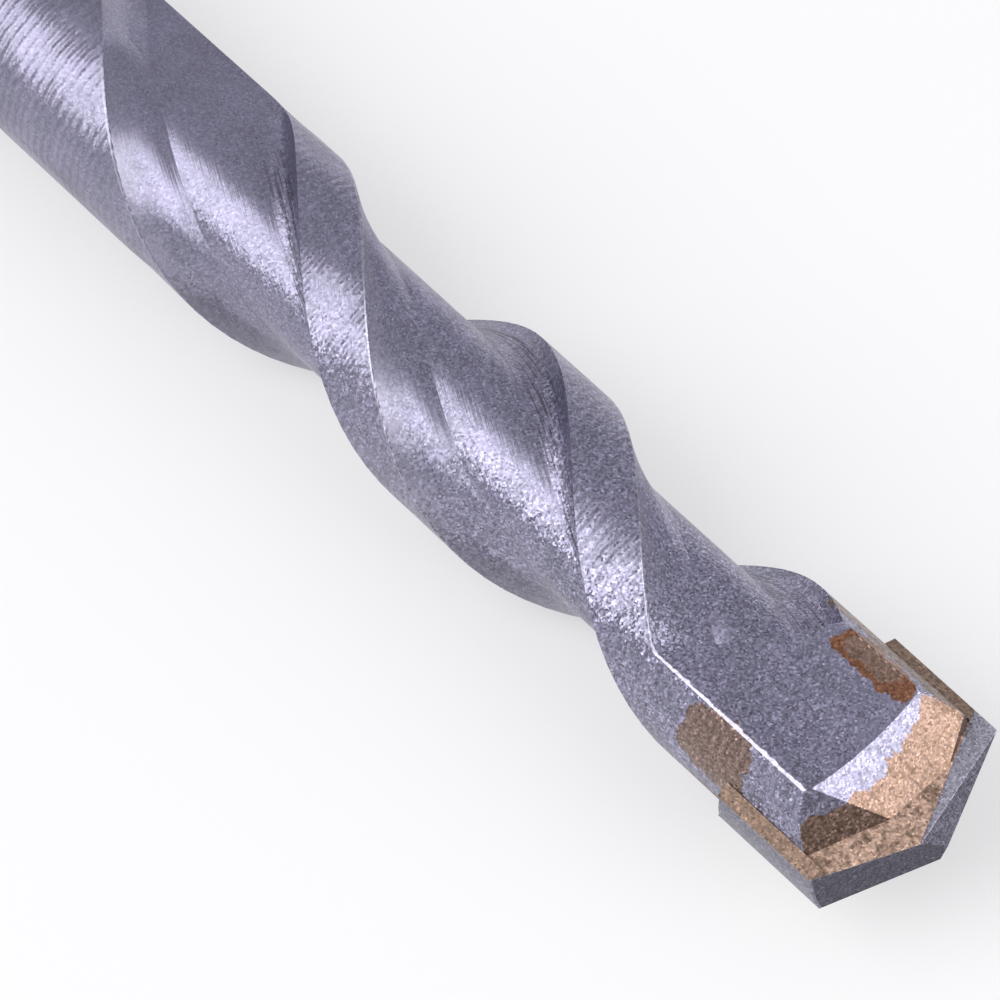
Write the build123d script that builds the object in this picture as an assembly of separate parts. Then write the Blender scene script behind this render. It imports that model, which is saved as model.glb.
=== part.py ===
from build123d import *
from math import cos, pi, radians, sin, sqrt, tan
import os

# Hammer drill bit with a grooved plug-in shank, two right-hand helical flutes and a hardmetal plate
# that is brazed into a slot across the head.
# The axis of the bit is the X axis. The origin is the centre of the striking face at the rear of the
# shank, and +X runs to the point. Y runs across the plate and Z is square to it. Millimetres.

# Shank
SHANK_DIAMETER = 10.0
SHANK_CHAMFER = 0.8
NECK_END = 57.5
OVERALL_LENGTH = 115.0

# Open grooves that drive the bit, above and below the axis
DRIVE_GROOVE_LENGTH = 25.5
DRIVE_GROOVE_FLOOR = 3.75
DRIVE_GROOVE_BOTTOM_WIDTH = 3.8
DRIVE_GROOVE_MOUTH_WIDTH = 4.8
DRIVE_GROOVE_RAMP = 30.0

# Closed grooves for the locking balls, on either side of the axis
LOCK_GROOVE_START = 8.6
LOCK_GROOVE_LENGTH = 19.0
LOCK_GROOVE_RADIUS = 3.5
LOCK_GROOVE_DEPTH = 1.7

# Fluted body
BODY_DIAMETER = 9.15
BODY_REAR_DIAMETER = 8.76
NECK_TAPER_LENGTH = 2.0
CORE_DIAMETER = 5.88
LEAD = 32.7
LAND_ANGLE = 43.2
LEADING_FLANK_ANGLE = 19.0
TRAILING_FLANK_ANGLE = 40.0
TRAILING_FLANK_RISE = 16.0
FLUTE_LENGTH = 46.1

# Flat pockets in the head, which carry the flutes on to the point
POCKET_LENGTH = 13.5
POCKET_FLOOR = 3.05
POCKET_FLOOR_RADIUS = 25.0
POCKET_EDGE_ANGLE = 45.5

# Hardmetal plate
PLATE_THICKNESS = 1.8
PLATE_DIAMETER = 10.1
PLATE_DEPTH = 7.9
POINT_ANGLE = 130.6
RELIEF_ANGLE = 17.3
THINNING_START = 0.74
THINNING_DEPTH = 0.58

# Ends of the steel beside the plate, and the braze in the slot
STEEL_SETBACK = 1.26
RAKE_FACE_SETBACK = 1.35
RAKE_FACE_SLOPE = 1.09
HEEL_FACE_SETBACK = 1.38
HEEL_FACE_RISE = 0.34
HEEL_FACE_SLOPE = 0.78
BRAZE_FILM = 0.12
BRAZE_FILLET = 0.26

# How far a cutting shape stands past the surface that it cuts
PAST = 2.0

SHANK_RADIUS = SHANK_DIAMETER / 2
BODY_RADIUS = BODY_DIAMETER / 2
BODY_REAR_RADIUS = BODY_REAR_DIAMETER / 2
CORE_RADIUS = CORE_DIAMETER / 2
PLATE_RADIUS = PLATE_DIAMETER / 2
HALF_PLATE = PLATE_THICKNESS / 2
HALF_SLOT = HALF_PLATE + BRAZE_FILM
REACH = max(SHANK_RADIUS, BODY_RADIUS, PLATE_RADIUS) + PAST

EDGE_SLOPE = 1 / tan(radians(POINT_ANGLE / 2))
RELIEF_SLOPE = tan(radians(RELIEF_ANGLE))

# Where the two cutting edges would meet, a little ahead of the chisel edge between them
APEX = OVERALL_LENGTH + RELIEF_SLOPE * HALF_PLATE
SLOT_END = APEX - PLATE_DEPTH - BRAZE_FILM

TURN_PER_LENGTH = 360 / LEAD

# The trailing edge of a land meets the straight edge of the pocket here, and the leading edge of the
# other land meets the other straight edge of the same pocket further on.
TRAILING_EDGE_STOP = APEX - POCKET_LENGTH
TRAILING_EDGE_ANGLE = 180 - POCKET_EDGE_ANGLE
LEADING_EDGE_TURN = POCKET_EDGE_ANGLE - (TRAILING_EDGE_ANGLE + LAND_ANGLE - 180)
LEADING_EDGE_STOP = TRAILING_EDGE_STOP + LEADING_EDGE_TURN / TURN_PER_LENGTH

# The wheel that cuts a flute stops where the middle of the flute reaches this place and angle.
FLUTE_HALF_ANGLE = (180 - LAND_ANGLE) / 2
FLUTE_HALF_LENGTH = FLUTE_HALF_ANGLE / TURN_PER_LENGTH
LAST_CUT = APEX - FLUTE_LENGTH
LAST_CUT_ANGLE = TRAILING_EDGE_ANGLE - FLUTE_HALF_ANGLE - (TRAILING_EDGE_STOP - LAST_CUT) * TURN_PER_LENGTH
HELIX_START = LAST_CUT - FLUTE_HALF_LENGTH - PAST


def around(x, radius, angle):
    """The point at this place along the axis, radius and angle, which is 0 at +Y and 90 at +Z."""
    return Vector(x, radius * cos(radians(angle)), radius * sin(radians(angle)))


def beyond(origin, normal):
    """A block that fills the space on the outer side of a plane at the head of the bit."""
    side = 2 * OVERALL_LENGTH
    return Plane(origin, z_dir=normal) * Box(side, side, side, align=(Align.CENTER, Align.CENTER, Align.MIN))


def opposite(shape):
    """The same shape after half a turn about the axis."""
    return shape.rotate(Axis.X, 180)


def across(start, end, half_width, bottom, top):
    """A block with these limits along the axis, to both sides and in height."""
    return Pos((start + end) / 2, 0, (bottom + top) / 2) * Box(end - start, 2 * half_width, top - bottom)


def turned_blank():
    """The bit as it is turned, before its grooves, flutes and slot are cut."""
    cone_start = APEX - STEEL_SETBACK - EDGE_SLOPE * BODY_RADIUS
    outline = Polyline(
        (0, 0),
        (0, SHANK_RADIUS - SHANK_CHAMFER),
        (SHANK_CHAMFER, SHANK_RADIUS),
        (NECK_END, SHANK_RADIUS),
        (NECK_END + NECK_TAPER_LENGTH, BODY_REAR_RADIUS),
        (cone_start, BODY_RADIUS),
        (APEX - STEEL_SETBACK, 0),
        close=True,
    )
    return revolve(make_face(outline), Axis.X)


def flute_section():
    """The section of the space in one flute, where the helix starts."""
    x = HELIX_START
    trailing = TRAILING_EDGE_ANGLE - (TRAILING_EDGE_STOP - x) * TURN_PER_LENGTH
    leading = trailing + LAND_ANGLE - 180
    trailing_foot = trailing - TRAILING_FLANK_ANGLE
    leading_foot = leading + LEADING_FLANK_ANGLE
    middle = (trailing + leading) / 2
    core_middle = (trailing_foot + leading_foot) / 2
    corners = {
        "leading foot": around(x, CORE_RADIUS, leading_foot),
        "leading edge": around(x, BODY_RADIUS, leading),
        "leading outside": around(x, REACH, leading),
        "trailing outside": around(x, REACH, trailing),
        "trailing edge": around(x, BODY_RADIUS, trailing),
        "trailing foot": around(x, CORE_RADIUS, trailing_foot),
    }
    backward_along_core = around(0, 1, leading_foot - 90)
    forward_and_up = around(0, 1, trailing_foot + 90 - TRAILING_FLANK_RISE)
    edges = [
        Edge.make_tangent_arc(corners["leading foot"], backward_along_core, corners["leading edge"]),
        Edge.make_line(corners["leading edge"], corners["leading outside"]),
        Edge.make_three_point_arc(
            corners["leading outside"], around(x, REACH, middle), corners["trailing outside"]
        ),
        Edge.make_line(corners["trailing outside"], corners["trailing edge"]),
        Edge.make_tangent_arc(corners["trailing foot"], forward_and_up, corners["trailing edge"]),
        Edge.make_three_point_arc(
            corners["trailing foot"], around(x, CORE_RADIUS, core_middle), corners["leading foot"]
        ),
    ]
    return Face(Wire(edges))


def slanted_zone(start, end):
    """The space between two ends that are square to the flute on the upper side of the head.

    Each end is a pair of places along the axis: at the pocket's edge on the -Y side, and on the +Y side.
    """
    half_chord = BODY_RADIUS * cos(radians(POCKET_EDGE_ANGLE))
    side = REACH + PAST
    corners = []
    for left, right in (start, end):
        middle = (left + right) / 2
        lean = (right - left) / 2 / half_chord
        corners.append([(middle - lean * side, -side), (middle + lean * side, side)])
    outline = Polyline(corners[0][0], corners[1][0], corners[1][1], corners[0][1], close=True)
    return extrude(make_face(outline), amount=side, both=True)


def last_cut():
    """The frame of the last cut: its x is along the axis, its y is outward and its z is along the turn."""
    return Plane((LAST_CUT, 0, 0), x_dir=(1, 0, 0), z_dir=around(0, 1, LAST_CUT_ANGLE + 90))


def flute_helix():
    """What one flute takes out of the body between the last cut of the wheel and the pocket."""
    length = LEADING_EDGE_STOP + POCKET_LENGTH - HELIX_START
    helix = Solid.extrude_linear_with_rotation(
        flute_section(), (HELIX_START, 0, 0), (length, 0, 0), length * TURN_PER_LENGTH
    )
    zone = slanted_zone(
        (HELIX_START - PAST, HELIX_START - PAST), (TRAILING_EDGE_STOP, LEADING_EDGE_STOP)
    )
    front = FLUTE_HALF_LENGTH + PAST
    depth = REACH + PAST
    before_last_cut = last_cut() * Pos(front, 0, 0) * Box(
        front - (HELIX_START - LAST_CUT) + PAST, 2 * depth, depth,
        align=(Align.MAX, Align.CENTER, Align.MAX),
    )
    return (helix & zone) - before_last_cut


def flute_end(helix):
    """What the wheel takes out behind its last cut, straight on from the end face of the helix."""
    window = last_cut() * Pos(0, REACH / 2 + PAST, 0) * Rectangle(
        2 * FLUTE_HALF_LENGTH + PAST, REACH + 2 * PAST
    )
    sideways = around(0, pi * BODY_DIAMETER / LEAD, LAST_CUT_ANGLE - 90)
    return extrude(helix & window, amount=2 * REACH, dir=sideways + Vector(-1, 0, 0))


def pocket_space():
    """What the flat pocket takes out of the upper side of the head."""
    start = TRAILING_EDGE_STOP - REACH
    end = APEX + PAST
    floor = Plane((start, 0, POCKET_FLOOR + POCKET_FLOOR_RADIUS), z_dir=(1, 0, 0)) * Cylinder(
        POCKET_FLOOR_RADIUS, end - start, align=(Align.CENTER, Align.CENTER, Align.MIN)
    )
    return floor & slanted_zone((TRAILING_EDGE_STOP, LEADING_EDGE_STOP), (end, end))


def rake_face_space():
    """Space ahead of the steel in front of the cutting edge, on the upper side."""
    return beyond((APEX - RAKE_FACE_SETBACK, 0, 0), (1, 0, RAKE_FACE_SLOPE))


def heel_face_space():
    """Space ahead of the steel behind the cutting edge, on the upper side."""
    return beyond((APEX - HEEL_FACE_SETBACK, 0, 0), (1, -HEEL_FACE_RISE, HEEL_FACE_SLOPE))


def relief_space():
    """Space ahead of the plate's relief face on the -Y side, whose cutting edge is the lower one."""
    return beyond((APEX, 0, -HALF_PLATE), (1, -EDGE_SLOPE, RELIEF_SLOPE))


def drive_groove():
    """The open groove above the axis, with a ramp at its front end."""
    floor, top = DRIVE_GROOVE_FLOOR, SHANK_RADIUS + PAST
    flare = (DRIVE_GROOVE_MOUTH_WIDTH - DRIVE_GROOVE_BOTTOM_WIDTH) / 2 / (SHANK_RADIUS - floor)
    half_bottom = DRIVE_GROOVE_BOTTOM_WIDTH / 2
    half_top = half_bottom + flare * (top - floor)
    section = Plane.YZ.offset(-PAST) * Polyline(
        (-half_bottom, floor), (half_bottom, floor), (half_top, top), (-half_top, top), close=True
    )
    ramp_length = (top - floor) / tan(radians(DRIVE_GROOVE_RAMP))
    groove = extrude(make_face(section), amount=PAST + DRIVE_GROOVE_LENGTH + ramp_length)
    side = Plane.XZ * Polyline(
        (-PAST, floor),
        (DRIVE_GROOVE_LENGTH, floor),
        (DRIVE_GROOVE_LENGTH + ramp_length, top),
        (-PAST, top),
        close=True,
    )
    return groove & extrude(make_face(side), amount=half_top, both=True)


def lock_groove():
    """The closed ball track on the +Y side, with round ends."""
    height = SHANK_RADIUS - LOCK_GROOVE_DEPTH + LOCK_GROOVE_RADIUS
    rise = height - SHANK_RADIUS
    overhang = sqrt(LOCK_GROOVE_RADIUS**2 - rise**2)
    first = (LOCK_GROOVE_START + overhang, height, 0)
    last = (LOCK_GROOVE_START + LOCK_GROOVE_LENGTH - overhang, height, 0)
    track = Plane(first, z_dir=(1, 0, 0)) * Cylinder(
        LOCK_GROOVE_RADIUS, last[0] - first[0], align=(Align.CENTER, Align.CENTER, Align.MIN)
    )
    return track + Pos(*first) * Sphere(LOCK_GROOVE_RADIUS) + Pos(*last) * Sphere(LOCK_GROOVE_RADIUS)


def plate_slot():
    """The slot across the head for the plate and its braze."""
    return across(SLOT_END, APEX + PAST, REACH, -HALF_SLOT, HALF_SLOT)


def steel_body():
    """Shank, neck, fluted body and head in one piece."""
    body = turned_blank()
    helix = flute_helix()
    for space in (helix, flute_end(helix), pocket_space(), rake_face_space(), heel_face_space()):
        body = body - space - opposite(space)
    for groove in (drive_groove(), lock_groove()):
        body = body - groove - opposite(groove)
    return body - plate_slot()


def thinning_space():
    """Space where the plate is ground away ahead of the upper cutting edge, near the chisel edge."""
    start_height = -EDGE_SLOPE * THINNING_START - 2 * RELIEF_SLOPE * HALF_PLATE
    start = Vector(APEX + start_height, -THINNING_START, HALF_PLATE)
    corner = Vector(APEX - EDGE_SLOPE * PLATE_RADIUS, PLATE_RADIUS, HALF_PLATE)
    chisel_height = HALF_PLATE - THINNING_DEPTH
    chisel_side = RELIEF_SLOPE * chisel_height / EDGE_SLOPE
    chisel = Vector(OVERALL_LENGTH, chisel_side, chisel_height)
    normal = (corner - start).cross(chisel - start)
    return beyond(start, normal if normal.X > 0 else -normal)


def carbide_plate():
    """The hardmetal plate, ground to a point with relief behind each cutting edge."""
    blank = across(APEX - PLATE_DEPTH, APEX, PLATE_RADIUS, -HALF_PLATE, HALF_PLATE)
    margin = Plane((APEX - PLATE_DEPTH, 0, 0), z_dir=(1, 0, 0)) * Cylinder(
        PLATE_RADIUS, PLATE_DEPTH, align=(Align.CENTER, Align.CENTER, Align.MIN)
    )
    plate = blank & margin
    for space in (relief_space(), thinning_space()):
        plate = plate - space - opposite(space)
    return plate


def braze_fillet(side):
    """The braze in the corner between a land and the margin of the plate, above it."""
    top = HALF_SLOT + BRAZE_FILLET
    margin = sqrt(PLATE_RADIUS**2 - HALF_PLATE**2)
    land = sqrt(BODY_RADIUS**2 - top**2)
    outline = Plane.YZ.offset(SLOT_END) * Polyline(
        (side * margin, HALF_PLATE), (side * land, top), (side * land, HALF_PLATE), close=True
    )
    return extrude(make_face(outline), amount=PLATE_DEPTH + BRAZE_FILM, dir=(1, 0, 0))


def braze_joint(steel, plate):
    """The braze that fills the slot round the plate and stands up along both of its faces."""
    land = sqrt(BODY_RADIUS**2 - HALF_SLOT**2)
    upper = across(SLOT_END, APEX, land, 0, HALF_SLOT) + braze_fillet(1) + braze_fillet(-1)
    seam = beyond((APEX - STEEL_SETBACK, 0, 0), (1, EDGE_SLOPE, 0))
    upper = upper - seam - relief_space()
    return upper + opposite(upper) - plate - steel


steel = steel_body()
plate = carbide_plate()
nodes = {
    "steel_body": steel,
    "carbide_plate": plate,
    "braze_joint": braze_joint(steel, plate),
}

os.makedirs("parts", exist_ok=True)
for name, shape in nodes.items():
    export_step(shape, f"parts/{name}.step")
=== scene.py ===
"""Dresses a hammer drill bit with a brazed hardmetal plate, and sets it on a pale floor."""

import math

import bmesh
import bpy
from bpy.props import FloatProperty, FloatVectorProperty, PointerProperty
from mathutils import Matrix, Vector


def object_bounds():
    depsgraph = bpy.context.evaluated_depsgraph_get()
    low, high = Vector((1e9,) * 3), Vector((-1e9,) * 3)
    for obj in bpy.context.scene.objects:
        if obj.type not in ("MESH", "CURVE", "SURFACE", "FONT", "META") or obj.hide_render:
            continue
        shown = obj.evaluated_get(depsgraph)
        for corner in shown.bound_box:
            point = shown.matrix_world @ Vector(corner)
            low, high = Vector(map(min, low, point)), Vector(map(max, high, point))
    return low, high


bl_info = {
    "name": "Hammer drill bit",
    "version": (1, 0, 0),
    "blender": (4, 5, 0),
    "location": "View3D > Sidebar > Drill bit",
    "description": "Finishes of the steel body, the hardmetal plate and its braze, with a small studio",
    "category": "Object",
}

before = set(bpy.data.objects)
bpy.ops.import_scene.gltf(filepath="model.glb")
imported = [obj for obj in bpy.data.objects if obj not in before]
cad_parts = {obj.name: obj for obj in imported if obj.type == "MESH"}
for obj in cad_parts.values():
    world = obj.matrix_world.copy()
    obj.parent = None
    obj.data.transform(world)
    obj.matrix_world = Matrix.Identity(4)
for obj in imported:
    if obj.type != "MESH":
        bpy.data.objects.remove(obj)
CAD_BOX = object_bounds()
MILLIMETRE = 0.001
FULL_TURN = 2 * math.pi

# Sizes of the bit that the patterns follow, in millimetres. Angles go round its axis, from +Y towards +Z.
# The apex is where the two cutting edges would meet, just past the tip.
APEX_PAST_TIP = 0.28
APEX = CAD_BOX[1][0] / MILLIMETRE + APEX_PAST_TIP
LEAD = 32.7
TURN_PER_LENGTH = FULL_TURN / LEAD
POCKET_LENGTH = 13.5
TRAILING_EDGE = math.radians(134.5)
FLUTE_ANGLE = math.radians(136.8)
BODY_RADIUS = 4.575
BODY_REAR_RADIUS = 4.38
BODY_LENGTH = 55.8
NECK_TAPER_LENGTH = 2.0
SHANK_RADIUS = 5.0
HALF_PLATE = 0.9
RIDGE_SLOPE = 0.912

# Where a finish starts and where it is full, along the bit from the apex, in millimetres.
ON_FACETS = (-4.95, -4.9)
BEHIND_POCKET = (-14.0, -17.0)
AHEAD_OF_NECK = (-50.0, -46.0)
SCRATCHES_REAR_END = (-43.0, -40.0)
SCRATCHES_FRONT_END = (-9.0, -10.0)
BLASTED = (-48.0, -14.0)

# The same in depth below the turned outside, and for the corner of the pocket in height above the axis.
ON_LAND = (0.06, 0.02)
BELOW_LAND = (0.05, 0.1)
STAIN_DEPTH = (0.3, 0.2)
RIM_DEPTH = (0.35, 0.25)
BURNT_DEPTH = (0.3, 0.1)
MARGIN_DEPTH = (-0.35, -0.4)
POCKET_CORNER = (2.5, 2.6)

# The same round the bit, from the nearest edge of a land.
STEEP_FLANK = (math.radians(24), math.radians(14))
ROUNDED_FLANK = (math.radians(36), math.radians(14))
# Behind each trailing edge the steel is smoother, and its lighter colour there is a painted highlight.
SMOOTH_HIGHLIGHT_BAND = (math.radians(14), math.radians(5))
RUBBED_RIM = (math.radians(3.0), math.radians(2.1))
RAGGED_RIM = math.radians(2.5)

# How many clouds, spots or streaks a noise has in a millimetre.
STEEL_CLOUDS = 0.5
BURNT_CLOUDS = 3.5
SHORE_SPOTS = 1.5
STAIN_SPOTS = 1.8
MARK_CLOUDS = 0.9
RIM_SPOTS = 2.2
FLUTE_STREAKS = (0.12, 7.0, 7.0)
FLANK_SCRATCHES = (0.35, 9.0, 9.0)
WHEEL_MARKS = (14.0, 1.5, 14.0)

# How strongly a finish shows, where 1 is full strength.
STAIN_STRENGTH = 0.85
# The facet behind the cutting edge is darkened as painted shade.
PAINTED_FACET_SHADE = 0.38
# The lighter strip behind each trailing edge is a painted highlight.
HIGHLIGHT_BAND_STRENGTH = 0.35
STREAK_STRENGTH = 0.5
# The dark striations on the steep flanks are partly painted shade.
SCRATCH_STRENGTH = 0.6
# The turning marks get a painted highlight on their tops and painted shade in their hollows.
PAINTED_MARK_SHADING = 0.07
SHANK_SMOOTHNESS = 0.75

# Where the stains lie: the middle and the half sizes, along the bit from the apex and across it.
LAND_STAIN = ((-9.15, 12.3), (1.75, 1.7))
POCKET_STAIN = ((-7.0, 2.8), (2.0, 0.68))
POCKET_STAIN_CORE = ((-7.2, 2.9), (1.4, 0.5))
LAND_FILM = ((-6.4, 1.8), (4.4, 1.2))
RAGGED = 1.2

# The shore of the braze on the facets lies at z = reach + slope y + bend y², down to the lowest y.
SHORE_REACH = 2.2
SHORE_SLOPE = 0.1
SHORE_BEND = 0.055
SHORE_LOWEST_Y = -2.4

# Sockets of the Mix node when it mixes colours.
FACTOR, UNDER, OVER, MIXED = 0, 6, 7, 2

# The lamps look at this point. The camera's axes are its right, its up and its back.
LIT_POINT = (APEX - 30, 0, 0)
FLOOR_HALF_SIZE = 3.0
CAMERA_AXES = (
    (0.68428, 0.72770, -0.04708),
    (-0.62845, 0.62123, 0.46811),
    (0.36989, -0.29073, 0.88241),
)
CAMERA_PLACE = (APEX + 66.84, -73.22, 217.03)
CAMERA_LENS = 216.36
CAMERA_SENSOR = 36


def linear(colour):
    """The linear RGBA of an sRGB hex colour such as '8a8894'."""
    channels = [int(colour[i : i + 2], 16) / 255 for i in (0, 2, 4)]
    return [c / 12.92 if c <= 0.04045 else ((c + 0.055) / 1.055) ** 2.4 for c in channels] + [1.0]


def add(tree, kind, inputs=(), out=0, **settings):
    """Adds a shader node with its settings, values and links, and returns one of its outputs."""
    node = tree.nodes.new("ShaderNode" + kind)
    for name, value in settings.items():
        setattr(node, name, value)
    for key, value in inputs.items() if isinstance(inputs, dict) else enumerate(inputs):
        if isinstance(value, bpy.types.NodeSocket):
            tree.links.new(value, node.inputs[key])
        else:
            node.inputs[key].default_value = value
    return node.outputs[out] if node.outputs else None


def colour_property(name, description, default):
    return FloatVectorProperty(
        name=name, description=description, subtype="COLOR", size=4, min=0, max=1, default=linear(default)
    )


def length_property(name, description, default):
    return FloatProperty(
        name=name, description=description, unit="LENGTH", default=default * MILLIMETRE, min=0, precision=6
    )


class SteelFinish(bpy.types.PropertyGroup):
    """Blasted and turned tool steel"""

    steel: colour_property("Steel", "Bare blasted steel", "928fa4")
    shade: colour_property("Shade", "Slightly darker clouds of the steel", "888698")
    # Also the lighter colour of the strip behind each trailing edge, which is a painted highlight.
    worn_and_highlight: colour_property("Worn edge", "Steel rubbed bright along the edges", "aaa8b6")
    # Colour of the dark striations, whose darkness on the steep flanks is partly painted shade.
    scratch_shade: colour_property("Scratch", "Dark scratches on the steep flanks", "3c3a44")
    grain: length_property("Grain", "Width of one dent of the blasting grit", 0.09)
    mark_pitch: length_property("Mark pitch", "Distance from one turning mark to the next", 0.45)
    mark_depth: length_property("Mark depth", "Depth of the turning marks", 0.02)
    streak_depth: length_property("Streak depth", "Depth of the streaks along the flutes", 0.03)


class BrazeFinish(bpy.types.PropertyGroup):
    """The copper-coloured braze and the stains beside it"""

    braze: colour_property("Braze", "Clean braze that ran over the steel", "90776b")
    film: colour_property("Braze in the joint", "Clean braze of the joint itself", "c6a692")
    burnt: colour_property("Burnt braze", "Braze that the heat has darkened", "7e6757")
    rust: colour_property("Rust", "Red-brown rim of the stains", "875e49")
    grain: length_property("Grain", "Width of one grain of the braze", 0.1)


class HardmetalFinish(bpy.types.PropertyGroup):
    """Ground hardmetal"""

    lapped: colour_property("Lapped", "Flat faces and margins of the hardmetal", "aaa7b5")
    # Painted shade: the relief faces are given this far darker colour.
    relief_painted_shade: colour_property("Ground", "Relief faces of the hardmetal", "55535d")
    grain: length_property("Grain", "Width of one grain of the surface", 0.08)
    mark_depth: length_property("Mark depth", "Depth of the wheel's marks", 0.01)


class Studio(bpy.types.PropertyGroup):
    """Floor, lamps and camera"""

    floor: colour_property("Floor", "Pale floor and backdrop", "b8b8b8")
    air: colour_property("Air", "Soft light from all round", "c2c2c8")
    lift: FloatProperty(
        name="Lift", description="Whitens the floor where it is seen", default=0.45, min=0, max=1
    )
    key_power: FloatProperty(
        name="Key", description="Large soft lamp on the left", default=2.7, min=0, unit="POWER"
    )
    side_power: FloatProperty(
        name="Side", description="Soft lamp on the right", default=1.5, min=0, unit="POWER"
    )


def new_tree(name):
    """A new material with this name and no nodes, and its node tree."""
    material = bpy.data.materials.new(name)
    material.use_nodes = True
    material.node_tree.nodes.clear()
    return material, material.node_tree


def places(tree):
    """Where a point lies on the bit, in millimetres and radians.

    The bit looks the same after half a turn, so near_y and near_angle are those of the upper half. Behind
    is how far the point lies behind the trailing edge of a land, round the axis, and ahead is how far it
    lies ahead of the leading edge of the other land. Depth is how far it lies below the turned outside.
    Patterns read mm, so a scale of 2 gives them two grains in a millimetre.
    """
    coords = add(tree, "TexCoord", out="Object")
    mm = add(tree, "VectorMath", {0: coords, "Scale": 1 / MILLIMETRE}, operation="SCALE")
    x, y, z = add(tree, "SeparateXYZ", (mm,)).node.outputs
    outward = add(tree, "VectorMath", (mm, (0, 1, 1)), operation="MULTIPLY")
    radius = add(tree, "VectorMath", (outward,), out="Value", operation="LENGTH")
    side = add(tree, "Math", (z,), operation="SIGN")
    near_y = add(tree, "Math", (y, side), operation="MULTIPLY")
    near_z = add(tree, "Math", (z,), operation="ABSOLUTE")
    from_apex = add(tree, "Math", (x, APEX), operation="SUBTRACT")

    # The trailing edge winds up to the pocket and then runs straight. The leading edge winds all the way.
    past_stop = add(tree, "Math", (from_apex, POCKET_LENGTH), operation="ADD")
    wound = add(tree, "Math", (past_stop, 0.0), operation="MINIMUM")
    angle = add(tree, "Math", (z, y), operation="ARCTAN2")
    edge = add(tree, "Math", (wound, TURN_PER_LENGTH, TRAILING_EDGE), operation="MULTIPLY_ADD")
    gap = add(tree, "Math", (edge, angle), operation="SUBTRACT")
    leading_edge = TRAILING_EDGE - FLUTE_ANGLE
    front_edge = add(tree, "Math", (past_stop, TURN_PER_LENGTH, leading_edge), operation="MULTIPLY_ADD")
    front_gap = add(tree, "Math", (angle, front_edge), operation="SUBTRACT")

    # The outside tapers slightly to the rear, and steps up to the shank behind the neck.
    body_radius = add(tree, "MapRange", (from_apex, -BODY_LENGTH, 0.0, BODY_REAR_RADIUS, BODY_RADIUS))
    shank_end = -BODY_LENGTH - NECK_TAPER_LENGTH
    on_shank = add(tree, "MapRange", (from_apex, -BODY_LENGTH, shank_end))
    step = SHANK_RADIUS - BODY_REAR_RADIUS
    outside = add(tree, "Math", (on_shank, step, body_radius), operation="MULTIPLY_ADD")
    return {
        "mm": mm,
        "from_apex": from_apex,
        "near_y": near_y,
        "near_z": near_z,
        "near_angle": add(tree, "Math", (near_z, near_y), operation="ARCTAN2"),
        "angle": angle,
        "outward": outward,
        "wound": wound,
        "behind": add(tree, "Math", (gap, FULL_TURN / 2, 0.0), operation="WRAP"),
        "ahead": add(tree, "Math", (front_gap, FULL_TURN / 2, 0.0), operation="WRAP"),
        "depth": add(tree, "Math", (outside, radius), operation="SUBTRACT"),
        "on_shank": on_shank,
    }


def patch(tree, place, across, middle, half_sizes):
    """A ragged spot, 1 inside and 0 outside, laid out along the bit and across it in millimetres."""
    flat = add(tree, "CombineXYZ", (place["from_apex"], across, 0.0))
    noise = add(tree, "TexNoise", {"Vector": place["mm"], "Scale": STAIN_SPOTS, "Detail": 6.0}, out="Color")
    shaken = add(tree, "VectorMath", (noise, (RAGGED, RAGGED, 0.0), flat), operation="MULTIPLY_ADD")
    centre = (middle[0] + RAGGED / 2, middle[1] + RAGGED / 2, 0.0)
    local = add(
        tree,
        "Mapping",
        {"Vector": shaken, "Location": centre, "Scale": (*half_sizes, 1.0)},
        vector_type="TEXTURE",
    )
    squares = add(tree, "VectorMath", (local, local), operation="MULTIPLY")
    reach = add(tree, "VectorMath", (squares, squares), out="Value", operation="DOT_PRODUCT")
    return add(tree, "MapRange", (reach, 1.1, 0.9), interpolation_type="SMOOTHSTEP")


def grains(tree, place, width, colour, normal, strength, tilt):
    """Small grains that each take the light a little differently: the colour and the normal with them."""
    cell = add(tree, "TexVoronoi", {"Vector": place["mm"], "Scale": MILLIMETRE / width}, out="Color")
    centred = add(tree, "VectorMath", (cell, (0.5, 0.5, 0.5)), operation="SUBTRACT")
    scaled = add(tree, "VectorMath", {0: centred, "Scale": strength}, operation="SCALE")
    leaning = add(tree, "VectorMath", (scaled, (tilt, tilt, tilt), normal), operation="MULTIPLY_ADD")
    even = (0.75, 0.75, 0.75)
    brightness = add(tree, "VectorMath", (scaled, even), out="Value", operation="DOT_PRODUCT")
    factor = add(tree, "Math", (math.e, brightness), operation="POWER")
    shaded = add(tree, "VectorMath", {0: colour, "Scale": factor}, operation="SCALE")
    return shaded, add(tree, "VectorMath", (leaning,), operation="NORMALIZE")


def surface(tree, colour, metallic, roughness, normal):
    """The metal surface itself, and the output of the material."""
    shader = add(
        tree,
        "BsdfPrincipled",
        {"Base Color": colour, "Metallic": metallic, "Roughness": roughness, "Normal": normal},
    )
    add(tree, "OutputMaterial", {"Surface": shader})


def braze_colour(tree, place, clean, burnt):
    """Clean braze with darker, burnt clouds."""
    clouds = add(tree, "TexNoise", {"Vector": place["mm"], "Scale": BURNT_CLOUDS, "Detail": 6.0}, out="Fac")
    cloudy = add(tree, "MapRange", (clouds, 0.4, 0.7), interpolation_type="SMOOTHSTEP")
    return add(tree, "Mix", {FACTOR: cloudy, UNDER: clean, OVER: burnt}, out=MIXED, data_type="RGBA")


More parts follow.
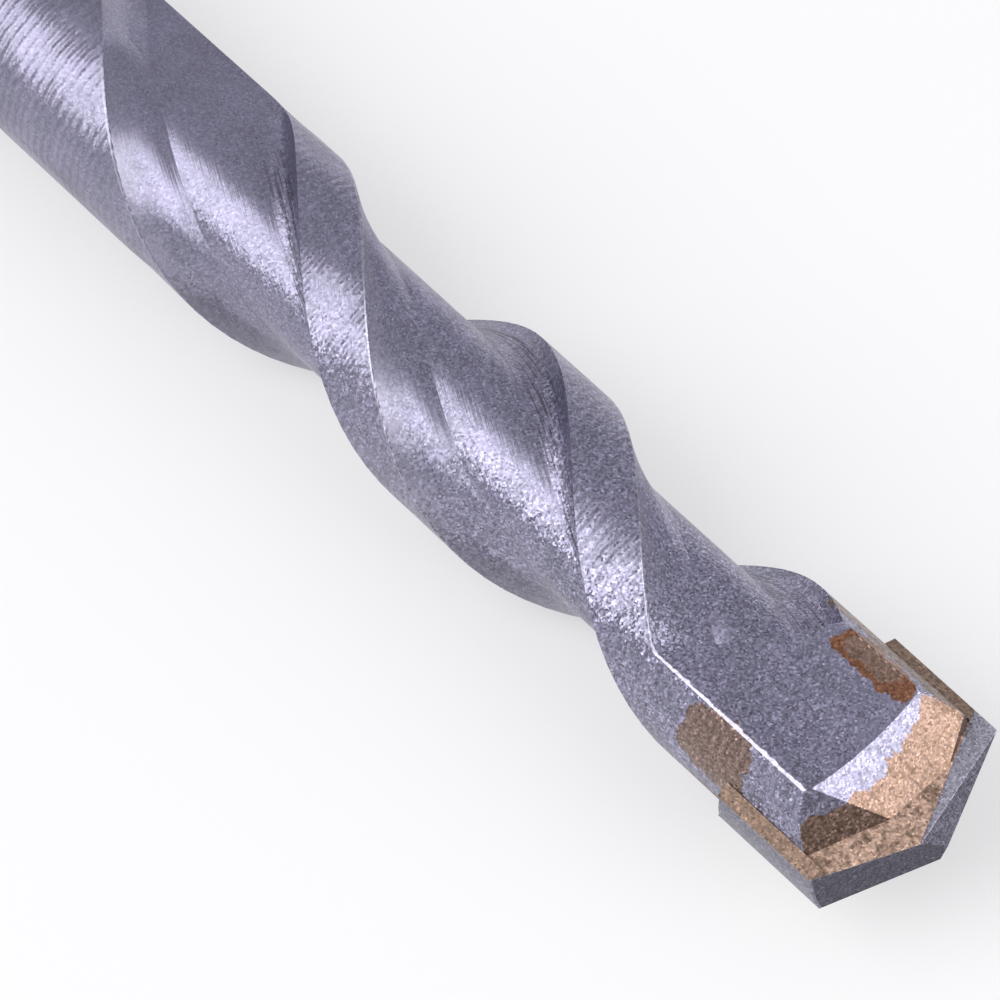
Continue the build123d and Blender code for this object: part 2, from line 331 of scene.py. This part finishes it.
def stains(tree, place, braze, steel):
    """The steel with the braze that ran over the head and the stains of its flux."""
    # Both facets beside the plate are covered up to a ragged shore.
    clipped_y = add(tree, "Math", (place["near_y"], SHORE_LOWEST_Y), operation="MAXIMUM")
    slope = add(tree, "Math", (clipped_y, SHORE_BEND, SHORE_SLOPE), operation="MULTIPLY_ADD")
    shore = add(tree, "Math", (clipped_y, slope, SHORE_REACH), operation="MULTIPLY_ADD")
    ragged = add(tree, "TexNoise", {"Vector": place["mm"], "Scale": SHORE_SPOTS, "Detail": 7.0}, out="Fac")
    shaken = add(tree, "Math", (ragged, 1.0, shore), operation="MULTIPLY_ADD")
    inside = add(tree, "Math", (shaken, place["near_z"]), operation="SUBTRACT")
    covered = add(tree, "MapRange", (inside, 0.46, 0.54), interpolation_type="SMOOTHSTEP")
    in_head = add(tree, "MapRange", (place["from_apex"], *ON_FACETS))
    inner = add(tree, "MapRange", (place["depth"], *BELOW_LAND))
    facets = add(tree, "Math", (covered, in_head), operation="MULTIPLY")
    facets = add(tree, "Math", (facets, inner), operation="MULTIPLY")
    clean = braze_colour(tree, place, braze.braze, braze.burnt)
    colour = add(tree, "Mix", {FACTOR: facets, UNDER: steel, OVER: clean}, out=MIXED, data_type="RGBA")

    # The facet behind the cutting edge is darker up to the ridge between the two: painted shade of the facet
    # turned from the light.
    from_ridge = add(tree, "Math", (place["near_z"], RIDGE_SLOPE, place["near_y"]), operation="MULTIPLY_ADD")
    painted_facet_shade = add(tree, "MapRange", (from_ridge, 0.12, 0.04))
    painted_facet_shade = add(tree, "Math", (painted_facet_shade, in_head), operation="MULTIPLY")
    painted_facet_shade = add(tree, "Math", (painted_facet_shade, inner), operation="MULTIPLY")
    darkened = add(tree, "Math", (painted_facet_shade, -PAINTED_FACET_SHADE, 1.0), operation="MULTIPLY_ADD")
    colour = add(tree, "VectorMath", {0: colour, "Scale": darkened}, operation="SCALE")

    # A stain on each land, beside the straight edge of the pocket.
    arc = add(tree, "Math", (place["near_angle"], BODY_RADIUS), operation="MULTIPLY")
    spot = patch(tree, place, arc, *LAND_STAIN)
    outside = add(tree, "MapRange", (place["depth"], *STAIN_DEPTH))
    spot = add(tree, "Math", (spot, outside), operation="MULTIPLY")
    spot = add(tree, "Math", (spot, STAIN_STRENGTH), operation="MULTIPLY")
    dull = add(tree, "Mix", {FACTOR: 0.6, UNDER: clean, OVER: braze.burnt}, out=MIXED, data_type="RGBA")
    colour = add(tree, "Mix", {FACTOR: spot, UNDER: colour, OVER: dull}, out=MIXED, data_type="RGBA")

    # A stain in the far corner of the pocket, red-brown round its rim.
    spot = patch(tree, place, place["near_y"], *POCKET_STAIN)
    core = patch(tree, place, place["near_y"], *POCKET_STAIN_CORE)
    in_pocket = add(tree, "MapRange", (place["near_z"], *POCKET_CORNER))
    spot = add(tree, "Math", (spot, in_pocket), operation="MULTIPLY")
    rusty = add(tree, "Mix", {FACTOR: core, UNDER: braze.rust, OVER: clean}, out=MIXED, data_type="RGBA")
    colour = add(tree, "Mix", {FACTOR: spot, UNDER: colour, OVER: rusty}, out=MIXED, data_type="RGBA")

    # A thin brown film on the other land beside the plate.
    film = patch(tree, place, arc, *LAND_FILM)
    film = add(tree, "Math", (film, outside), operation="MULTIPLY")
    film = add(tree, "Math", (film, STAIN_STRENGTH), operation="MULTIPLY")
    return add(tree, "Mix", {FACTOR: film, UNDER: colour, OVER: braze.burnt}, out=MIXED, data_type="RGBA")


def turning_marks(tree, place, pitch, land):
    """The fine thread that a turning tool leaves: its height on the lands, finer on the shank."""
    wobble = add(tree, "TexNoise", {"Vector": place["mm"], "Scale": MARK_CLOUDS, "Detail": 2.0}, out="Fac")
    along = add(tree, "Math", (place["from_apex"], MILLIMETRE / pitch), operation="MULTIPLY")
    thread = add(tree, "Math", (place["angle"], -1 / FULL_TURN, along), operation="MULTIPLY_ADD")
    thread = add(tree, "Math", (wobble, 0.7, thread), operation="MULTIPLY_ADD")
    turns = add(tree, "Math", (thread, FULL_TURN), operation="MULTIPLY")
    wave = add(tree, "Math", (turns,), operation="SINE")
    marks = add(tree, "Math", (wave, land), operation="MULTIPLY")
    finer = add(tree, "Math", (place["on_shank"], -SHANK_SMOOTHNESS, 1.0), operation="MULTIPLY_ADD")
    return add(tree, "Math", (marks, finer), operation="MULTIPLY")


def flute_streaks(tree, place):
    """Streaks along the flutes, stretched in a pattern that turns with them."""
    unwound = add(tree, "Math", (place["wound"], -TURN_PER_LENGTH), operation="MULTIPLY")
    turned = add(tree, "VectorRotate", {"Vector": place["mm"], "Angle": unwound}, rotation_type="X_AXIS")
    drawn = add(tree, "VectorMath", (turned, FLUTE_STREAKS), operation="MULTIPLY")
    return add(tree, "TexNoise", {"Vector": drawn, "Scale": 1.0, "Detail": 3.0}, out="Fac")


def shaded_flank_scratches(tree, place, in_flute):
    """Dark striations on the steep flank ahead of each land, along the turn of the flute, darkened as
    painted shade of that flank.
    """
    unwound = add(tree, "Math", (place["from_apex"], -TURN_PER_LENGTH), operation="MULTIPLY")
    turned = add(tree, "VectorRotate", {"Vector": place["mm"], "Angle": unwound}, rotation_type="X_AXIS")
    drawn = add(tree, "VectorMath", (turned, FLANK_SCRATCHES), operation="MULTIPLY")
    scores = add(tree, "TexNoise", {"Vector": drawn, "Scale": 1.0, "Detail": 2.0}, out="Fac")
    shaded_scratches = add(
        tree, "MapRange", (scores, 0.46, 0.62, 0.0, SCRATCH_STRENGTH), interpolation_type="SMOOTHSTEP"
    )
    # Kept to the steep flank, where their darkness is painted shade.
    steep = add(tree, "MapRange", (place["ahead"], *STEEP_FLANK))
    rear_end = add(tree, "MapRange", (place["from_apex"], *SCRATCHES_REAR_END))
    front_end = add(tree, "MapRange", (place["from_apex"], *SCRATCHES_FRONT_END))
    for limit in (steep, rear_end, front_end, in_flute):
        shaded_scratches = add(tree, "Math", (shaded_scratches, limit), operation="MULTIPLY")
    return shaded_scratches


def rubbed_rim(tree, place, ahead_of_neck):
    """The trailing edge of each land, rubbed in a narrow, slightly ragged line."""
    noise = add(tree, "TexNoise", {"Vector": place["mm"], "Scale": RIM_SPOTS, "Detail": 5.0}, out="Fac")
    ragged = add(tree, "Math", (noise, RAGGED_RIM, place["behind"]), operation="MULTIPLY_ADD")
    rim = add(tree, "MapRange", (ragged, *RUBBED_RIM), interpolation_type="SMOOTHSTEP")
    near_outside = add(tree, "MapRange", (place["depth"], *RIM_DEPTH))
    rim = add(tree, "Math", (rim, near_outside), operation="MULTIPLY")
    return add(tree, "Math", (rim, ahead_of_neck), operation="MULTIPLY")


def rounded_flank(tree, place, normal, rim, streaked):
    """The normal, leaning outward where the trailing flank rounds over and at its rubbed edge."""
    outward = add(
        tree,
        "VectorTransform",
        (place["outward"],),
        vector_type="NORMAL",
        convert_from="OBJECT",
        convert_to="WORLD",
    )
    round_over = add(
        tree,
        "MapRange",
        (place["behind"], *ROUNDED_FLANK, 0.0, 1.3),
        interpolation_type="SMOOTHSTEP",
    )
    round_over = add(tree, "Math", (round_over, streaked), operation="MULTIPLY")
    lean = add(tree, "Math", (rim, 2.0, round_over), operation="MULTIPLY_ADD")
    leaning_out = add(tree, "VectorMath", {0: outward, "Scale": lean}, operation="SCALE")
    return add(tree, "VectorMath", (leaning_out, normal), operation="ADD")


def steel_material(values, braze):
    """Hardened tool steel, turned, milled and blasted.

    Grit blasting gives it a fine sparkle, strongest in the flutes near the head. The lands keep the marks
    of the tool that turned the outside, and the flutes keep streaks along them.
    """
    material, tree = new_tree("blasted_tool_steel")
    place = places(tree)

    # The lands are still on the turned outside of the body.
    land = add(tree, "MapRange", (place["depth"], *ON_LAND), interpolation_type="SMOOTHSTEP")
    in_flute = add(tree, "Math", (1.0, land), operation="SUBTRACT")
    behind_pocket = add(tree, "MapRange", (place["from_apex"], *BEHIND_POCKET))
    ahead_of_neck = add(tree, "MapRange", (place["from_apex"], *AHEAD_OF_NECK))
    streaked = add(tree, "Math", (in_flute, ahead_of_neck), operation="MULTIPLY")
    streaked = add(tree, "Math", (streaked, behind_pocket), operation="MULTIPLY")

    # Soft clouds in the bare steel, dark striations, and a smoother strip behind each trailing edge, lighter
    # as a painted highlight.
    clouds = add(tree, "TexNoise", {"Vector": place["mm"], "Scale": STEEL_CLOUDS, "Detail": 6.0}, out="Fac")
    cloudy = add(tree, "MapRange", (clouds, 0.35, 0.7), interpolation_type="SMOOTHSTEP")
    # The striations are darkened as painted shade of the steep flanks.
    shaded_scratches = shaded_flank_scratches(tree, place, in_flute)
    highlight_band = add(tree, "MapRange", (place["behind"], *SMOOTH_HIGHLIGHT_BAND, 0.0, HIGHLIGHT_BAND_STRENGTH))
    highlight_band = add(tree, "Math", (highlight_band, streaked), operation="MULTIPLY")
    colour = values.steel
    for where, over in ((cloudy, values.shade), (shaded_scratches, values.scratch_shade), (highlight_band, values.worn_and_highlight)):
        colour = add(tree, "Mix", {FACTOR: where, UNDER: colour, OVER: over}, out=MIXED, data_type="RGBA")

    # The stains, the edge rubbed bright over them, and the turning marks painted lighter on their tops and
    # darker in their hollows: painted highlight and shade.
    colour = stains(tree, place, braze, colour)
    rim = rubbed_rim(tree, place, ahead_of_neck)
    colour = add(tree, "Mix", {FACTOR: rim, UNDER: colour, OVER: values.worn_and_highlight}, out=MIXED, data_type="RGBA")
    marks = turning_marks(tree, place, values.mark_pitch, land)
    painted_mark_shading = add(tree, "Math", (marks, PAINTED_MARK_SHADING, 1.0), operation="MULTIPLY_ADD")
    colour = add(tree, "VectorMath", {0: colour, "Scale": painted_mark_shading}, operation="SCALE")

    # The relief of the marks comes and goes over the surface, and the streaks lie in the flutes alone.
    fading = add(tree, "TexNoise", {"Vector": place["mm"], "Scale": MARK_CLOUDS, "Detail": 3.0}, out="Fac")
    mark_strength = add(tree, "MapRange", (fading, 0.25, 0.6, 0.2, 1.0))
    bump = add(
        tree,
        "Bump",
        {"Height": marks, "Strength": mark_strength, "Distance": values.mark_depth},
        out="Normal",
    )
    streaks = flute_streaks(tree, place)
    streak_strength = add(tree, "Math", (streaked, STREAK_STRENGTH), operation="MULTIPLY")
    bump = add(
        tree,
        "Bump",
        {"Height": streaks, "Strength": streak_strength, "Distance": values.streak_depth, "Normal": bump},
        out="Normal",
    )
    rounded = rounded_flank(tree, place, bump, rim, streaked)

    # The blasting fades towards the shank, is finer on the facets and is rubbed off along the edges.
    blast = add(tree, "MapRange", (place["from_apex"], *BLASTED, 0.3, 0.9))
    on_facets = add(tree, "MapRange", (place["from_apex"], *ON_FACETS, 1.0, 0.75))
    half_rim = add(tree, "Math", (rim, 0.5), operation="MULTIPLY")
    smooth = add(tree, "Math", (half_rim, highlight_band), operation="MAXIMUM")
    rough_part = add(tree, "Math", (1.0, smooth), operation="SUBTRACT")
    blast = add(tree, "Math", (blast, on_facets), operation="MULTIPLY")
    blast = add(tree, "Math", (blast, rough_part), operation="MULTIPLY")
    colour, normal = grains(tree, place, values.grain, colour, rounded, strength=blast, tilt=0.26)
    roughness = add(tree, "MapRange", (clouds, 0.3, 0.7, 0.28, 0.36))
    surface(tree, colour, metallic=0.88, roughness=roughness, normal=normal)
    return material


def braze_material(values):
    """Copper braze that has set in air: a dull, grainy skin with burnt clouds, darkest on the outside."""
    material, tree = new_tree("copper_braze")
    place = places(tree)
    clean = braze_colour(tree, place, values.film, values.burnt)
    outside = add(tree, "MapRange", (place["depth"], *BURNT_DEPTH))
    colour = add(
        tree, "Mix", {FACTOR: outside, UNDER: clean, OVER: values.burnt}, out=MIXED, data_type="RGBA"
    )
    normal = add(tree, "NewGeometry", out="Normal")
    colour, normal = grains(tree, place, values.grain, colour, normal, strength=0.8, tilt=0.3)
    surface(tree, colour, metallic=0.4, roughness=0.45, normal=normal)
    return material


def hardmetal_material(values):
    """Ground tungsten hardmetal: a dull violet grey with fine, parallel marks of the wheel."""
    material, tree = new_tree("ground_hardmetal")
    place = places(tree)

    # The relief faces are far darker than the flat faces and the margins: painted shade on the relief faces.
    flat = add(tree, "MapRange", (place["near_z"], HALF_PLATE - 0.015, HALF_PLATE - 0.005))
    margin = add(tree, "MapRange", (place["depth"], *MARGIN_DEPTH, 0.0, 0.45))
    lapped = add(tree, "Math", (flat, margin), operation="MAXIMUM")
    colour = add(
        tree, "Mix", {FACTOR: lapped, UNDER: values.relief_painted_shade, OVER: values.lapped}, out=MIXED, data_type="RGBA"
    )
    drawn = add(tree, "VectorMath", (place["mm"], WHEEL_MARKS), operation="MULTIPLY")
    marks = add(tree, "TexNoise", {"Vector": drawn, "Scale": 1.0, "Detail": 3.0}, out="Fac")
    bump = add(
        tree, "Bump", {"Height": marks, "Strength": 1.0, "Distance": values.mark_depth}, out="Normal"
    )
    colour, normal = grains(tree, place, values.grain, colour, bump, strength=0.7, tilt=0.3)
    surface(tree, colour, metallic=0.8, roughness=0.36, normal=normal)
    return material


def floor_material(values):
    """Matt white board, whitened where it is seen so that it doesn't add light to the object."""
    material, tree = new_tree("matt_white_board")
    board = add(tree, "BsdfDiffuse", {"Color": values.floor})
    rays = add(tree, "LightPath").node.outputs
    seen = add(tree, "Math", (rays["Is Camera Ray"], rays["Is Glossy Ray"]), operation="MAXIMUM")
    seen = add(tree, "Math", (seen, rays["Is Transmission Ray"]), operation="MAXIMUM")
    strength = add(tree, "Math", (seen, values.lift), operation="MULTIPLY")
    glow = add(tree, "Emission", {"Color": linear("ffffff"), "Strength": strength})
    add(tree, "OutputMaterial", {"Surface": add(tree, "AddShader", (board, glow))})
    return material


def dress(node, material):
    """Gives a node of the frame this material alone."""
    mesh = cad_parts[node].data
    mesh.materials.clear()
    mesh.materials.append(material)


class DRILL_OT_steel_body(bpy.types.Operator):
    """Finish the steel body"""

    bl_idname = "drill.steel_body"
    bl_label = "Steel body"

    def execute(self, context):
        scene = context.scene
        dress("steel_body", steel_material(scene.drill_steel, scene.drill_braze))
        return {"FINISHED"}


class DRILL_OT_carbide_plate(bpy.types.Operator):
    """Finish the hardmetal plate"""

    bl_idname = "drill.carbide_plate"
    bl_label = "Hardmetal plate"

    def execute(self, context):
        dress("carbide_plate", hardmetal_material(context.scene.drill_hardmetal))
        return {"FINISHED"}


class DRILL_OT_braze_joint(bpy.types.Operator):
    """Finish the braze round the plate"""

    bl_idname = "drill.braze_joint"
    bl_label = "Braze"

    def execute(self, context):
        dress("braze_joint", braze_material(context.scene.drill_braze))
        return {"FINISHED"}


def add_floor(collection, material):
    """A wide board that the bit lies on, as an object of its own."""
    mesh = bpy.data.meshes.new("floor")
    form = bmesh.new()
    bmesh.ops.create_grid(form, x_segments=1, y_segments=1, size=FLOOR_HALF_SIZE)
    bmesh.ops.translate(form, verts=form.verts, vec=(0, 0, CAD_BOX[0][2]))
    form.to_mesh(mesh)
    form.free()
    mesh.materials.append(material)
    floor = bpy.data.objects.new("floor", mesh)
    collection.objects.link(floor)


def add_lamp(collection, name, toward, distance, size, power):
    """A soft square lamp that looks at the flutes from this direction."""
    lamp = bpy.data.lights.new(name, "AREA")
    lamp.shape = "SQUARE"
    lamp.size = size
    lamp.energy = power
    holder = bpy.data.objects.new(name, lamp)
    collection.objects.link(holder)
    direction = Vector(toward).normalized()
    holder.location = Vector(LIT_POINT) * MILLIMETRE + direction * distance
    holder.rotation_euler = direction.to_track_quat("Z", "Y").to_euler()


def add_camera(collection):
    """A camera with a long lens that looks down at the head."""
    camera = bpy.data.objects.new("camera", bpy.data.cameras.new("camera"))
    camera.data.sensor_width = CAMERA_SENSOR
    camera.data.lens = CAMERA_LENS
    camera.data.clip_start = 0.01
    turn = Matrix(CAMERA_AXES).transposed().to_4x4()
    camera.matrix_world = Matrix.Translation(Vector(CAMERA_PLACE) * MILLIMETRE) @ turn
    collection.objects.link(camera)
    return camera


class DRILL_OT_studio(bpy.types.Operator):
    """Add the floor, the lamps and the camera"""

    bl_idname = "drill.studio"
    bl_label = "Studio"

    def execute(self, context):
        studio = context.scene.drill_studio
        collection = context.collection
        add_floor(collection, floor_material(studio))

        world = bpy.data.worlds.new("studio")
        world.use_nodes = True
        world.node_tree.nodes.clear()
        back = add(world.node_tree, "Background", {"Color": studio.air, "Strength": 1.0})
        add(world.node_tree, "OutputWorld", {"Surface": back})
        context.scene.world = world

        add_lamp(collection, "key", (-0.37, -0.6, 0.71), distance=0.6, size=0.6, power=studio.key_power)
        add_lamp(collection, "side", (0.85, 0.29, 0.45), distance=0.6, size=0.4, power=studio.side_power)
        context.scene.camera = add_camera(collection)
        context.scene.view_settings.view_transform = "Standard"
        return {"FINISHED"}


class DRILL_PT_panel(bpy.types.Panel):
    """Lists the steps"""

    bl_idname = "DRILL_PT_panel"
    bl_label = "Drill bit"
    bl_space_type = "VIEW_3D"
    bl_region_type = "UI"
    bl_category = "Drill bit"

    def draw(self, context):
        for step in STEPS:
            self.layout.operator(step.bl_idname)
        for group in GROUPS:
            box = self.layout.box()
            values = getattr(context.scene, group)
            for name in values.__annotations__:
                box.prop(values, name)


GROUPS = {
    "drill_steel": SteelFinish,
    "drill_braze": BrazeFinish,
    "drill_hardmetal": HardmetalFinish,
    "drill_studio": Studio,
}
STEPS = (DRILL_OT_steel_body, DRILL_OT_carbide_plate, DRILL_OT_braze_joint, DRILL_OT_studio)


def register():
    for group in GROUPS.values():
        bpy.utils.register_class(group)
    for name, group in GROUPS.items():
        setattr(bpy.types.Scene, name, PointerProperty(type=group))
    for step in STEPS:
        bpy.utils.register_class(step)
    bpy.utils.register_class(DRILL_PT_panel)


def unregister():
    bpy.utils.unregister_class(DRILL_PT_panel)
    for step in reversed(STEPS):
        bpy.utils.unregister_class(step)
    for name in GROUPS:
        delattr(bpy.types.Scene, name)
    for group in GROUPS.values():
        bpy.utils.unregister_class(group)


def main():
    """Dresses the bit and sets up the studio."""
    register()
    bpy.ops.drill.steel_body()
    bpy.ops.drill.carbide_plate()
    bpy.ops.drill.braze_joint()
    bpy.ops.drill.studio()


if __name__ == "__main__":
    main()
